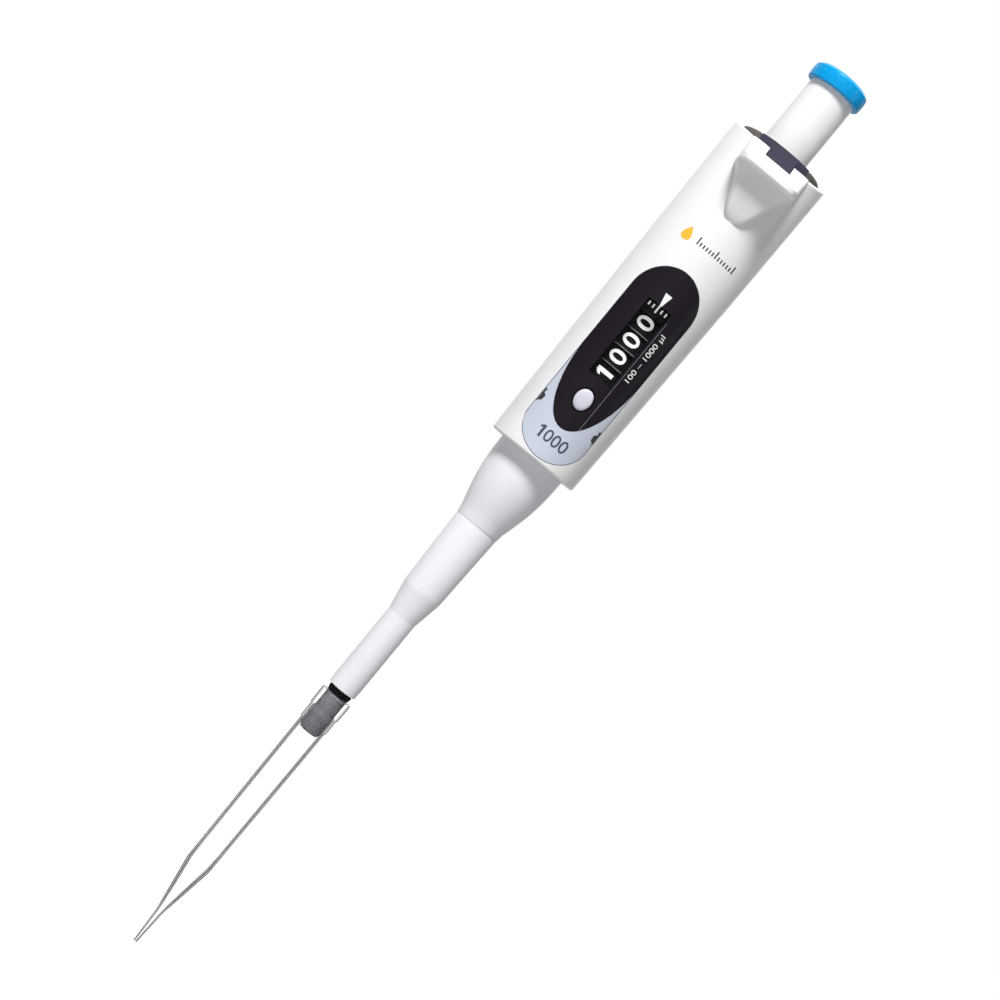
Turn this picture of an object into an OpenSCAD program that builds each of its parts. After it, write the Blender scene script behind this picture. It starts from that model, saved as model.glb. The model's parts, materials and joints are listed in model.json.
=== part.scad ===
// Adjustable single-channel micropipette, 100 to 1000 microlitres, with a disposable tip fitted.
// +Z runs up the pipette's axis to its button, and the display faces -Y.
// Heights are counted from the tip's orifice. The origin is the flat land under the finger hook.

/* [Disposable tip] */
// Height of the tip's rim above its orifice
tip_h = 89.6; // [88:0.1:90]
// Outer radius of the tip's rim
tip_rim_r = 5.0; // [4.8:0.1:5.4]
// Radius of the orifice
orifice_r = 0.45; // [0.3:0.05:0.5]
// Length of the straight orifice bore
orifice_l = 3; // [2:0.5:5]

/* [Lower part] */
// Height of the lower end of the tip cone
cone_low = 76.6; // [75:0.1:78]
// Radius of the tip cone's nose
cone_nose_r = 3.2; // [3.0:0.05:3.3]
// Height of the ejector sleeve's lower edge
sleeve_low = 91.8; // [91.7:0.1:93]
// Height of the step between the ejector sleeve and its bell
bell_low = 151.5; // [151:0.1:152]
// Radius of the cylinder's bore
cylinder_r = 4.25; // [4.24:0.01:4.28]
// Outer radius of the bell inside the handle
bell_r = 10.7; // [10.5:0.05:10.75]

/* [Handle] */
// Height of the handle's lower edge
handle_low = 176; // [175.5:0.1:176.2]
// Height of the handle's upper edge
handle_top = 286.2; // [286:0.1:287]
// Outer radius at the lower edge
handle_low_r = 14.35; // [14.3:0.05:14.6]
// Outer radius at the upper edge
handle_top_r = 16.05; // [16:0.05:16.3]
// Thickness of the handle's wall
wall = 1.5; // [1.4:0.05:1.55]
// Width of the hook's lip
hook_w = 20; // [16:0.5:22]
// Reach of the hook from the axis
hook_reach = 24.5; // [24:0.1:26]
// Height of the flat land under the hook's lip
land_z = 275.5; // [275:0.1:276]

/* [Display] */
// Width of the display bezel and of the label panel
bezel_w = 20; // [19:0.5:20.5]
// Height of the bezel's pointed lower end
bezel_low = 187.3; // [186:0.1:188]
// Height of the bezel's rounded upper end
bezel_top = 242.4; // [241:0.1:244]
// Width of the window
window_w = 8; // [7:0.5:8.5]
// Height of the window's lower edge
window_low = 204.4; // [204:0.1:205]
// Height of the window's upper edge
window_top = 230.8; // [230:0.1:231]
// Height of the lock button's centre
lock_z = 197.2; // [197:0.1:198]

/* [Counter] */
// Height of the lowest number ring
ring_low = 204.1; // [204:0.05:204.2]
// Distance from one number ring to the next
ring_pitch = 5.8; // [5.7:0.05:5.85]
// Outer radius of the number rings
ring_r = 10.2; // [10.1:0.05:10.3]
// Number of gear teeth on a ring
ring_teeth = 60; // [60]
// Number of teeth on a pinion
pinion_teeth = 10; // [10]
// Distance of the pinion shaft from the axis
pinion_reach = 11.4; // [11.4:0.01:11.45]

/* [Button] */
// Outer radius of the button tube
tube_r = 7.3; // [7.2:0.05:7.32]
// Outer radius of the button's cap
cap_r = 8.87; // [8.5:0.01:9.2]
// Height of the top of the cap
cap_top = 314.3; // [314:0.1:316]
// Full stroke of the button, with the blow-out step
stroke = 21.1; // [18:0.1:21.3]
// Travel of the tip ejector
eject_travel = 7; // [6:0.5:7]

/* [Hidden] */
$fn = 96;
land_y = -22.2;
running = 0.08;
outline_points = 24;
hook_fn = 32;
// gear teeth of the counter, above and below the pitch circle
tooth_tip = 0.24;
tooth_root = 0.32;
ring_pitch_r = pinion_reach * ring_teeth / (ring_teeth + pinion_teeth);
pinion_pitch_r = pinion_reach - ring_pitch_r;
// direction of the pinion shaft and of the screws, from +X
pinion_angle = 150;
screw_angles = [30, 210, 330];
screw_reach = 9.2;
// the ejector rod stands this far behind the axis
rod_reach = 11.6;
// lower edge of the ejector key's pad
key_low = 282;
// piston and its rod's flange, raised by the whole stroke
piston_low = 129.4 + stroke;
flange_low = 176.6 + stroke;

// Points every part, drawn above the tip's orifice, to the land under the hook
module in_frame() {
  translate([0, -land_y, -land_z])
    children();
}

// A turned body from the points of one half of its section
module turned(points) {
  rotate_extrude()
    polygon(points);
}

// A straight tube standing between two heights
module tube(outer, inner, low, high) {
  turned([[inner, low], [outer, low], [outer, high], [inner, high]]);
}

// A straight round bar standing between two heights
module bar(r, low, high) {
  translate([0, 0, low])
    cylinder(r = r, h = high - low);
}

// A block between two corners
module block(low, high) {
  translate(low)
    cube(high - low);
}

// Points of an upright half oval, from one side over its end to the other
function half_oval(half_w, h, z, from) = [
  for (i = [0 : outline_points])
    let (a = from + 180 * i / outline_points)
      [half_w * cos(a), z + h * sin(a)]
];

// Corners of a six-sided wire of radius r around one point of its path
function wire_ring(at, along, out, r) = let (side = cross(along, out))
  [for (k = [0 : 5]) at + r * (cos(60 * k) * out + sin(60 * k) * side)];

// A compression spring between two heights
module coil_spring(coil_r, wire_r, low, high, turns) {
  steps = 14 * turns;
  climb = (high - low - 2 * wire_r) / steps;
  rings = [
    for (i = [0 : steps])
      let (a = 360 * i / 14, out = [cos(a), sin(a), 0])
        wire_ring(
          coil_r * out + [0, 0, low + wire_r + climb * i],
          [-sin(a), cos(a), 0], out, wire_r)
  ];
  faces = concat(
    [[for (k = [0 : 5]) k]],
    [for (i = [0 : steps - 1], k = [0 : 5])
      [6 * i + k, 6 * (i + 1) + k, 6 * (i + 1) + (k + 1) % 6, 6 * i + (k + 1) % 6]],
    [[for (k = [5 : -1 : 0]) 6 * steps + k]]);
  polyhedron([for (ring = rings) each ring], faces);
}

// A spur gear's outline, with straight-sided teeth and room for backlash
module gear_outline(teeth, pitch_r, turn) {
  tooth = 360 / teeth;
  polygon([
    for (i = [0 : teeth - 1], side = [
      [-0.28, -tooth_root], [-0.11, tooth_tip], [0.11, tooth_tip], [0.28, -tooth_root]
    ])
      let (a = turn + tooth * (i + side[0]))
        (pitch_r + side[1]) * [cos(a), sin(a)]
  ]);
}

// ---- Handle ----

// Outer radius of the handle at a height
function handle_r(z) = z < 243
  ? handle_low_r + (15.65 - handle_low_r) * (z - handle_low) / (243 - handle_low)
  : 15.65 + (handle_top_r - 15.65) * (z - 243) / (handle_top - 243);

// A skin of the handle between two depths under its surface
module handle_skin(out, depth, low, high) {
  turned([
    [handle_r(low) - depth, low], [handle_r(low) + out, low],
    [handle_r(243) + out, 243],
    [handle_r(high) + out, high], [handle_r(high) - depth, high],
    [handle_r(243) - depth, 243]
  ]);
}

// The display bezel's outline, seen from the front and grown by a gap
module bezel_outline(gap) {
  half = bezel_w / 2 + gap;
  polygon(concat(
    half_oval(half, bezel_top - 231.5 + gap, 231.5, 0),
    half_oval(half, 210.5 - bezel_low + gap, 210.5, 180)));
}

// The label panel's outline, with the bezel cut out of it
module panel_outline(gap) {
  half = bezel_w / 2 + gap;
  low = handle_low + 1.1 - gap;
  difference() {
    polygon(concat(
      [[half, 212 + gap], [-half, 212 + gap]],
      half_oval(half, 9, low + 9, 180)));
    bezel_outline(0.1 - gap);
  }
}

// Pushes an outline drawn in the front view through the front wall
module through_front() {
  rotate([90, 0, 0])
    linear_extrude(height = 30)
      children();
}

// The oval of the lock button, grown by a gap
module lock_oval(gap) {
  translate([0, lock_z])
    polygon(concat(
      half_oval(2.6 + gap, 3.3 + gap, 0, 0),
      half_oval(2.6 + gap, 3.3 + gap, 0, 180)));
}

module window_outline(gap) {
  translate([-window_w / 2 - gap, window_low - gap])
    square([window_w + 2 * gap, window_top - window_low + 2 * gap]);
}

// The handle's whole shell with its sloped top edge
module handle_shell() {
  difference() {
    turned([
      [bell_r + 0.35, handle_low], [handle_low_r - 0.6, handle_low],
      [handle_low_r, handle_low + 0.7], [15.65, 243],
      [handle_top_r, handle_top - 0.7], [handle_top_r - 0.6, handle_top],
      [handle_top_r - wall, handle_top], [15.65 - wall, 243],
      [handle_r(handle_low + 3) - wall, handle_low + 3],
      [bell_r + 0.35, handle_low + 2.2]
    ]);
    // the top edge dips towards the front
    translate([0, 0, handle_top])
      rotate([8.5, 0, 0])
        block([-20, -40, 0], [20, 0, 10]);
  }
}

// The finger hook: a lip on a wedge that thins to a point below it
module hook() {
  difference() {
    hull() {
      for (x = [-1, 1]) {
        translate([x * (hook_w / 2 - 1.4), -hook_reach + 1.4, land_z - 1])
          cylinder(r = 1.4, h = 3, $fn = hook_fn);
        translate([x * 8.6, -11.6, 273])
          cylinder(r = 1.4, h = handle_top - 275.6, $fn = hook_fn);
      }
      translate([0, -13.6, 263.8])
        sphere(r = 2.8, $fn = hook_fn);
    }
    // the finger's hollow, which leaves the flat land under the lip
    intersection() {
      translate([0, -36.56, land_z - 12.07])
        rotate([0, 90, 0])
          cylinder(r = 20, h = 60, center = true);
      block([-20, -60, 240], [20, -10, land_z]);
    }
    // keeps the hook out of the hollow handle
    bar(14.4, 250, 290);
  }
}

module handle_front() {
  in_frame()
    color("white")
      union() {
        difference() {
          handle_shell();
          block([-20, 1.5, 170], [20, 20, 290]);
          intersection() {
            handle_skin(2, 0.8, handle_low + 0.5, 250);
            through_front() {
              bezel_outline(0.1);
              panel_outline(0.1);
            }
          }
          through_front() {
            window_outline(0.5);
            lock_oval(0.4);
          }
          // notch for the collar's tab
          block([-4.3, -20, 281.6], [4.3, -10, 290]);
        }
        difference() {
          hook();
          block([-4.3, -20, 281.6], [4.3, -10, 290]);
        }
      }
}

module handle_rear() {
  in_frame()
    color("white")
      difference() {
        handle_shell();
        block([-20, -20, 170], [20, 1.5, 290]);
        // slot for the ejector key
        block([-7.4, 5, key_low - eject_travel - 2.5], [7.4, 20, 290]);
      }
}

module display_bezel() {
  in_frame()
    color("#1e1a20")
      difference() {
        intersection() {
          handle_skin(0.1, 0.7, handle_low + 0.5, 250);
          through_front()
            bezel_outline(0);
        }
        through_front() {
          window_outline(0);
          lock_oval(0.25);
        }
      }
}

module display_window() {
  in_frame()
    color("white", 0.3)
      intersection() {
        handle_skin(0, 0.8, 200, 243.5);
        through_front()
          window_outline(-0.05);
      }
}

module label_panel() {
  in_frame()
    color("#d6dceb")
      intersection() {
        handle_skin(0.05, 0.7, handle_low + 0.6, 250);
        through_front()
          panel_outline(0);
      }
}

// Dark collar that closes the handle's top and guides the button tube
module head_collar() {
  in_frame()
    color("#504b5a")
      difference() {
        union() {
          turned([
            [tube_r + running, 272], [tube_r + 1.3, 272], [tube_r + 1.3, 284],
            [12.5, 284], [12.5, 276], [13.7, 276], [13.7, handle_top - 0.4],
            [13.3, handle_top], [tube_r + running, handle_top]
          ]);
          block([-4.1, -15.8, 281.8], [4.1, -13, handle_top - 0.5]);
        }
        // room for the ejector key behind, and the pad's seat in front
        block([-5.6, 9.8, 270], [5.6, 20, 290]);
        block([-8.7, -20, 285.2], [8.7, -9.2, 290]);
      }
}

// Darker pad let into the front of the collar
module collar_pad() {
  in_frame()
    color("#37333d")
      intersection() {
        bar(13.6, 285.2, handle_top);
        block([-8.6, -20, 285.2], [8.6, -9.3, handle_top]);
      }
}

// ---- Button and plunger ----

module button_cap() {
  in_frame()
    color("#12a0e2")
      turned([
        [0, 303], [6.1, 303], [6.1, 309.6], [tube_r + 0.03, 309.6], [tube_r + 0.03, 309],
        [cap_r - 0.5, 309], [cap_r, 309.5], [cap_r, cap_top - 1.1],
        [cap_r - 1.1, cap_top], [0, cap_top]
      ]);
}

module button_tube() {
  in_frame()
    color("white")
      tube(tube_r, 6.2, 262, 309.6);
}

// Six-sided rod that turns the adjusting sleeve and pushes the piston
module push_rod() {
  in_frame()
    color("silver") {
      translate([0, 0, flange_low + 1.5])
        cylinder(r = 2.2, h = 303 - flange_low - 1.5, $fn = 6);
      tube(6.1, 1.5, 266, 269);
    }
}

// Threaded sleeve that the button turns
module adjusting_sleeve() {
  in_frame()
    color("#c9a24b")
      difference() {
        turned([
          [0, 205], [4.5, 205], [4.5, 224.5], [6.82, 224.5], [6.82, 228.4],
          [4.5, 228.4], [4.5, 240], [3.6, 240], [3.6, 243.5], [0, 243.5]
        ]);
        translate([0, 0, 200])
          cylinder(r = 2.4, h = 50, $fn = 6);
      }
}

// Nut whose height on the sleeve sets the stroke
module volume_nut() {
  in_frame()
    color("#c9a24b")
      tube(6.6, 4.58, 215.5, 221.5);
}

// ---- Counter ----

module drive_gear() {
  in_frame()
    color("white")
      difference() {
        translate([0, 0, 229.3])
          linear_extrude(height = 1.4)
            gear_outline(ring_teeth, ring_pitch_r, pinion_angle);
        bar(4.5, 229, 231);
      }
}

// Pinion on the carry shaft, between two heights
module shaft_pinion(low, high) {
  turn = pinion_angle + 180 + 180 / pinion_teeth;
  translate(pinion_reach * [cos(pinion_angle), sin(pinion_angle), 0])
    difference() {
      translate([0, 0, low])
        linear_extrude(height = high - low)
          gear_outline(pinion_teeth, pinion_pitch_r, turn);
      bar(0.68, low - 1, high + 1);
    }
}

module drive_pinion() {
  in_frame()
    color("white")
      shaft_pinion(229.4, 230.6);
}

// One number ring: a drum for the digits with a gear along its upper edge
module number_ring(place) {
  low = ring_low + ring_pitch * place;
  in_frame()
    color("#2a262c")
      difference() {
        union() {
          bar(ring_r, low, low + 4.2);
          translate([0, 0, low + 4.2])
            linear_extrude(height = 1.4)
              gear_outline(ring_teeth, ring_pitch_r, pinion_angle);
        }
        bar(8, low - 1, low + 7);
      }
}

module carry_pinion(place) {
  low = ring_low + ring_pitch * place + 4.35;
  in_frame()
    color("white")
      shaft_pinion(low, low + 1.1);
}

module ring_thousands() {
  number_ring(0);
}

module ring_hundreds() {
  number_ring(1);
}

module ring_tens() {
  number_ring(2);
}

module ring_units() {
  number_ring(3);
}

module pinion_thousands() {
  carry_pinion(0);
}

module pinion_hundreds() {
  carry_pinion(1);
}

module pinion_tens() {
  carry_pinion(2);
}

module carry_shaft() {
  in_frame()
    color("silver")
      translate(pinion_reach * [cos(pinion_angle), sin(pinion_angle), 0])
        bar(0.6, 202, 232);
}

// Flanged tube that the number rings turn on
module counter_frame() {
  in_frame()
    color("#46424c")
      difference() {
        turned([
          [6.9, 201.5], [12.6, 201.5], [12.6, 203.5], [7.9, 203.5],
          [7.9, 227.5], [12.6, 227.5], [12.6, 228.8], [6.9, 228.8]
        ]);
        // room for the ejector rod
        block([-2.4, 10, 200], [2.4, 14, 230]);
        translate(pinion_reach * [cos(pinion_angle), sin(pinion_angle), 0])
          bar(0.6, 200, 230);
        for (a = screw_angles)
          rotate([0, 0, a])
            translate([screw_reach, 0, 0])
              bar(0.8, 201, 203);
      }
}

module frame_screws() {
  in_frame()
    color("silver")
      for (a = screw_angles)
        rotate([0, 0, a])
          translate([screw_reach, 0, 0]) {
            bar(0.8, 199, 203);
            bar(1.4, 198, 199.5);
          }
}

// ---- Piston and cylinder ----

// Fixed tube that carries the cylinder under the counter
module support_tube() {
  in_frame()
    color("#8a8790")
      difference() {
        turned([
          [6.4, 172], [7.4, 172], [7.4, 199.5], [10.6, 199.5],
          [10.6, 201.5], [6.4, 201.5]
        ]);
        for (a = screw_angles)
          rotate([0, 0, a])
            translate([screw_reach, 0, 0])
              bar(0.8, 199, 202);
      }
}

module blowout_spring() {
  in_frame()
    color("silver")
      coil_spring(5.6, 0.4, 172.1, 175.5, 3);
}

module blowout_ring() {
  in_frame()
    color("silver")
      tube(6.35, 4.75, 175.6, 176.5);
}

module piston_spring() {
  in_frame()
    color("silver")
      coil_spring(4.1, 0.45, 171.9, flange_low - 0.1, 9);
}

module spring_seat() {
  in_frame()
    color("#8a8790")
      tube(6.3, 2.28, 168, 171.8);
}

module piston_rod() {
  in_frame()
    color("silver")
      turned([
        [0, piston_low + 5.5], [2.2, piston_low + 5.5], [2.2, flange_low],
        [5.6, flange_low], [5.6, flange_low + 1.3], [0, flange_low + 1.3]
      ]);
}

module piston() {
  in_frame()
    color("#e8e8ec")
      translate([0, 0, piston_low])
        turned([
          [0, 0], [3.6, 0], [4.18, 0.7], [4.18, 1.9], [3.5, 1.9],
          [3.5, 3.3], [4.18, 3.3], [4.18, 6.5], [2.9, 7.9], [2.2, 7.9],
          [2.2, 5.5], [0, 5.5]
        ]);
}

module piston_seal() {
  in_frame()
    color("#232326")
      translate([0, 0, piston_low])
        turned([
          [3.5, 1.9], [4.1, 1.9], [4.21, 2.3], [4.21, 2.9], [4.1, 3.3], [3.5, 3.3]
        ]);
}

module cylinder_nut() {
  in_frame()
    color("#8a8790")
      turned([
        [5, 163.5], [7.4, 163.5], [7.6, 163.9], [7.6, 168], [8.5, 168.6],
        [8.5, 172], [6.3, 172], [6.3, 165], [5, 165]
      ]);
}

// Nose that takes the tip, and the cylinder above it
module tip_cone() {
  in_frame()
    color("#7d7d84")
      turned([
        [0.9, cone_low], [cone_nose_r - 0.5, cone_low], [cone_nose_r, cone_low + 0.6],
        [cone_nose_r, 83.8], [3.3, 84.6], [3.3, 92], [3.45, 118],
        [4.95, 127.3], [4.95, 165], [6.28, 165], [6.28, 168],
        [cylinder_r, 168], [cylinder_r, 128.8], [0.9, 124]
      ]);
}

module tip_seal() {
  in_frame()
    color("#1a1a1c")
      turned([
        [3.3, 89.7], [3.4, 89.7], [3.76, 90.8], [3.76, 91.2], [3.6, 91.4], [3.3, 91.4]
      ]);
}

// ---- Ejector ----

// Thumb key behind the button
module ejector_key() {
  in_frame()
    color("#504b5a")
      difference() {
        union() {
          hull()
            for (x = [-1, 1], y = [18, 20.4])
              translate([x * 5.2, y - 2.4, key_low])
                cylinder(r = 1.8, h = handle_top - key_low, $fn = hook_fn);
          block([-5, 10.2, key_low], [5, 17, handle_top]);
          block([-5, 10.2, 276], [5, 13.1, handle_top]);
        }
        translate([0, rod_reach, 0])
          bar(1, 270, 284.2);
      }
}

module ejector_rod() {
  in_frame()
    color("silver")
      translate([0, rod_reach, 0])
        bar(1, 186.4, 284.2);
}

// Ring with a lug that joins the rod to the bell
module ejector_plate() {
  in_frame()
    color("#8a8790")
      difference() {
        union() {
          bar(bell_r, 186, 188);
          block([-1.6, 8, 186], [1.6, 12.6, 188]);
        }
        bar(7.8, 185, 189);
        translate([0, rod_reach, 0])
          bar(1, 186.4, 190);
      }
}

module ejector_spring() {
  in_frame()
    color("silver")
      coil_spring(8.15, 0.35, 172.1, 184.8, 4);
}

module ejector_bell() {
  in_frame()
    color("#e4e4ee")
      turned([
        [6.05, bell_low], [6.75, bell_low], [7, bell_low + 0.3], [8.3, 156.9],
        [9.7, 162.5], [10.4, 170.4], [bell_r, 176], [bell_r, 186], [7.8, 186],
        [7.8, 185], [9.7, 185], [9.7, 176], [9.4, 170.4], [8.75, 162.5],
        [7.35, 156.9], [6.45, 153.5], [6.05, 153]
      ]);
}

module ejector_sleeve() {
  in_frame()
    color("#e4e4ee")
      turned([
        [3.92, sleeve_low], [4.35, sleeve_low], [4.5, sleeve_low + 0.2],
        [4.5, 118.3], [6.15, 127.3], [6.95, bell_low - 0.2], [6.95, bell_low],
        [6, bell_low], [6, 152.8], [5.5, 152.8], [5.5, 150],
        [5.3, 127.3], [3.92, 118.3]
      ]);
}

// ---- Lock button ----

module lock_button() {
  in_frame()
    color("#d4d2de")
      intersection() {
        through_front()
          lock_oval(0);
        difference() {
          bar(handle_r(lock_z) + 0.35, 190, 205);
          block([-20, -12, 185], [20, 20, 210]);
        }
      }
}

module lock_spring() {
  in_frame()
    color("silver")
      translate([0, -7.5, lock_z])
        rotate([90, 0, 0])
          coil_spring(1.5, 0.2, 0, 3.2, 4);
}

// ---- Tip ----

module tip() {
  in_frame()
    color("white", 0.5)
      turned([
        [orifice_r, 0], [0.6, 0], [1.2, 11], [3.95, 27.9], [4.3, 72.4],
        [4.3, 78.7], [4.6, 79.1], [4.6, 83.5], [tip_rim_r - 0.1, 83.9],
        [tip_rim_r, tip_h - 0.2], [tip_rim_r - 0.2, tip_h], [3.94, tip_h],
        [3.38, 88.9], [3.38, 84.4], [3.85, 83.4], [3.78, 72.4], [3.45, 28.6],
        [0.75, 11], [orifice_r, orifice_l]
      ]);
}

handle_front();
handle_rear();
display_bezel();
display_window();
label_panel();
head_collar();
collar_pad();
button_cap();
button_tube();
push_rod();
adjusting_sleeve();
volume_nut();
drive_gear();
drive_pinion();
counter_frame();
frame_screws();
carry_shaft();
ring_units();
ring_tens();
ring_hundreds();
ring_thousands();
pinion_tens();
pinion_hundreds();
pinion_thousands();
support_tube();
blowout_spring();
blowout_ring();
piston_spring();
spring_seat();
piston_rod();
piston();
piston_seal();
cylinder_nut();
tip_cone();
tip_seal();
ejector_key();
ejector_rod();
ejector_plate();
ejector_spring();
ejector_bell();
ejector_sleeve();
lock_button();
lock_spring();
tip();
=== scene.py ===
import json
from math import ceil, cos, floor, pi, radians, sin, sqrt, tan

import bmesh
import bpy
from mathutils import Matrix, Vector


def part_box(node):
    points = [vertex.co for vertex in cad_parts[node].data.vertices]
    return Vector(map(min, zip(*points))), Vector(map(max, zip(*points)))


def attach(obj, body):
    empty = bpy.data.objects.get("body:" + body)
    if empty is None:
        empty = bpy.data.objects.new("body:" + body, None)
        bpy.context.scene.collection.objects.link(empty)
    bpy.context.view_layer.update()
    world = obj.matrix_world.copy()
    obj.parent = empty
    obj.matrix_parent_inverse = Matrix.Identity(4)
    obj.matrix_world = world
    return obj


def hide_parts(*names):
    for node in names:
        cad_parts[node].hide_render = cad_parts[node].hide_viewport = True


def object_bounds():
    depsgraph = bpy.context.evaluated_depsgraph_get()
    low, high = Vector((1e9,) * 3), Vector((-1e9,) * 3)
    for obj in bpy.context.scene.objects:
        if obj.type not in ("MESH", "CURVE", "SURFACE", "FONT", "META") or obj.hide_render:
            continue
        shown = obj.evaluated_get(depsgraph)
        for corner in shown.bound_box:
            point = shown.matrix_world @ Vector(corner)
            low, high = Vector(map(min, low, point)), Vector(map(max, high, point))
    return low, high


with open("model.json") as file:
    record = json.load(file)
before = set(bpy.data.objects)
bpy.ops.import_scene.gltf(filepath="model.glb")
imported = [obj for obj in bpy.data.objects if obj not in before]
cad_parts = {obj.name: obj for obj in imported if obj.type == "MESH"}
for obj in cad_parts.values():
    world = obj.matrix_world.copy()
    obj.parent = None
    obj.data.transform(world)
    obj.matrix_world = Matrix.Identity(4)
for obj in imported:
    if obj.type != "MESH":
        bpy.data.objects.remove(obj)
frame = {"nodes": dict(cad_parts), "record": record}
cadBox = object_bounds()
scene = bpy.context.scene
print("frame loaded")

# shapes are built in millimetres, with the pipette's axis at x = y = 0 and
# heights counted from the tip's orifice, and are then moved to the frame
mm = 0.001
tipLow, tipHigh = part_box("tip")
axisY = (tipLow.y + tipHigh.y) / 2
toFrame = Matrix.Translation((0, axisY, tipLow.z)) @ Matrix.Scale(mm, 4)


def height(node, end):
    # a node's lower (0) or upper (1) end, in millimetres above the orifice
    return (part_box(node)[end].z - tipLow.z) / mm


# materials: one finish for each slot of the record, and the inks

def newNode(tree, kind, inputs=None, **settings):
    made = tree.nodes.new(kind)
    for key, value in settings.items():
        setattr(made, key, value)
    for key, value in (inputs or {}).items():
        made.inputs[key].default_value = value
    return made


def objectNoise(tree, scale, stretch=(1, 1, 1), detail=3):
    # noise fixed to the piece itself, finer where scale is larger
    place = newNode(tree, "ShaderNodeTexCoord")
    turn = newNode(tree, "ShaderNodeMapping", {"Scale": stretch})
    noise = newNode(tree, "ShaderNodeTexNoise", {"Scale": scale, "Detail": detail})
    tree.links.new(place.outputs["Object"], turn.inputs["Vector"])
    tree.links.new(turn.outputs["Vector"], noise.inputs["Vector"])
    return noise.outputs["Fac"]


def finish(name, colour, rough, roughSpread=0.05, tintSpread=0.03, noiseScale=90,
           stretch=(1, 1, 1), bump=0.0, bumpScale=900, **sockets):
    # a principled finish with a faint change of tint, gloss and relief over the piece
    made = bpy.data.materials.new(name)
    made.use_nodes = True
    tree = made.node_tree
    shader = tree.nodes["Principled BSDF"]
    noise = objectNoise(tree, noiseScale, stretch)
    tint = newNode(tree, "ShaderNodeMix", data_type="RGBA")
    tint.inputs["A"].default_value = [c * (1 - tintSpread) for c in colour] + [1]
    tint.inputs["B"].default_value = [min(1, c * (1 + tintSpread)) for c in colour] + [1]
    tree.links.new(noise, tint.inputs["Factor"])
    tree.links.new(tint.outputs["Result"], shader.inputs["Base Color"])
    gloss = newNode(tree, "ShaderNodeMapRange",
                    {"To Min": max(0.0, rough - roughSpread), "To Max": rough + roughSpread})
    tree.links.new(noise, gloss.inputs["Value"])
    tree.links.new(gloss.outputs["Result"], shader.inputs["Roughness"])
    if bump:
        grain = objectNoise(tree, bumpScale, stretch, 2)
        relief = newNode(tree, "ShaderNodeBump", {"Strength": bump, "Distance": 0.0001})
        tree.links.new(grain, relief.inputs["Height"])
        tree.links.new(relief.outputs["Normal"], shader.inputs["Normal"])
    for socket, value in sockets.items():
        shader.inputs[socket.replace("_", " ")].default_value = value
    return made


def darkEdged(made):
    # clear plastic hides little face on and takes up light where seen along its wall
    tree = made.node_tree
    along = newNode(tree, "ShaderNodeLayerWeight", {"Blend": 0.5})
    hidden = newNode(tree, "ShaderNodeMapRange", {"From Min": 0.35, "From Max": 0.92,
                                                  "To Min": 0.015, "To Max": 0.85})
    # the wall is thicker for its width towards the end of the tip
    spot = newNode(tree, "ShaderNodeTexCoord")
    axes = newNode(tree, "ShaderNodeSeparateXYZ")
    thick = newNode(tree, "ShaderNodeMapRange", {"From Min": tipLow.z, "To Min": 0.42,
                                                 "From Max": tipLow.z + 34 * mm, "To Max": 0.08})
    both = newNode(tree, "ShaderNodeMath", operation="ADD")
    tree.links.new(spot.outputs["Object"], axes.inputs["Vector"])
    tree.links.new(axes.outputs["Z"], thick.inputs["Value"])
    tree.links.new(along.outputs["Facing"], both.inputs[0])
    tree.links.new(thick.outputs["Result"], both.inputs[1])
    tree.links.new(both.outputs["Value"], hidden.inputs["Value"])
    tree.links.new(hidden.outputs["Result"], tree.nodes["Principled BSDF"].inputs["Alpha"])
    return made


turnedMarks = (1, 1, 14)
finishes = {
    "body_white": finish("bodyWhite", (0.87, 0.87, 0.88), 0.36, bump=0.10, bumpScale=1600,
                         Coat_Weight=0.15, Coat_Roughness=0.2),
    "sleeve_white": finish("sleeveWhite", (0.85, 0.85, 0.89), 0.42, bump=0.10, bumpScale=1400),
    "bezel_black": finish("bezelBlack", (0.0095, 0.0065, 0.011), 0.34, roughSpread=0.07, bump=0.06,
                          Specular_IOR_Level=0.32),
    "window_clear": finish("windowClear", (0.02, 0.02, 0.025), 0.06, roughSpread=0.03,
                           tintSpread=0.01, Alpha=0.06),
    "label_silver": finish("labelSilver", (0.63, 0.675, 0.785), 0.40, tintSpread=0.05,
                           noiseScale=60, bump=0.12, bumpScale=2200, Metallic=0.15),
    "cap_blue": finish("capBlue", (0.0, 0.335, 0.73), 0.26, bump=0.05, Specular_IOR_Level=0.35),
    "collar_grey": finish("collarGrey", (0.13, 0.12, 0.105), 0.5, bump=0.2),
    "pad_dark": finish("padDark", (0.05, 0.042, 0.075), 0.4, bump=0.2),
    "lock_grey": finish("lockGrey", (0.66, 0.635, 0.73), 0.33, bump=0.08),
    "cone_grey": finish("coneGrey", (0.29, 0.29, 0.32), 0.42, bump=0.15),
    "seal_black": finish("sealBlack", (0.005, 0.005, 0.007), 0.7, bump=0.2, bumpScale=1200,
                         Specular_IOR_Level=0.2),
    "tip_clear": darkEdged(
        finish("tipClear", (0.10, 0.10, 0.095), 0.06, roughSpread=0.03, tintSpread=0.02)),
    "ring_black": finish("ringBlack", (0.006, 0.006, 0.008), 0.5, bump=0.1,
                         Specular_IOR_Level=0.2),
    "gear_white": finish("gearWhite", (0.72, 0.72, 0.68), 0.45, bump=0.1),
    "frame_grey": finish("frameGrey", (0.11, 0.105, 0.125), 0.5, bump=0.15),
    "piston_white": finish("pistonWhite", (0.8, 0.8, 0.82), 0.3, bump=0.05),
    "steel": finish("steel", (0.56, 0.56, 0.58), 0.28, roughSpread=0.1, noiseScale=120,
                    stretch=turnedMarks, bump=0.15, Metallic=1.0),
    "brass": finish("brass", (0.68, 0.47, 0.16), 0.3, roughSpread=0.1, noiseScale=120,
                    stretch=turnedMarks, bump=0.15, Metallic=1.0),
}
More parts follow.
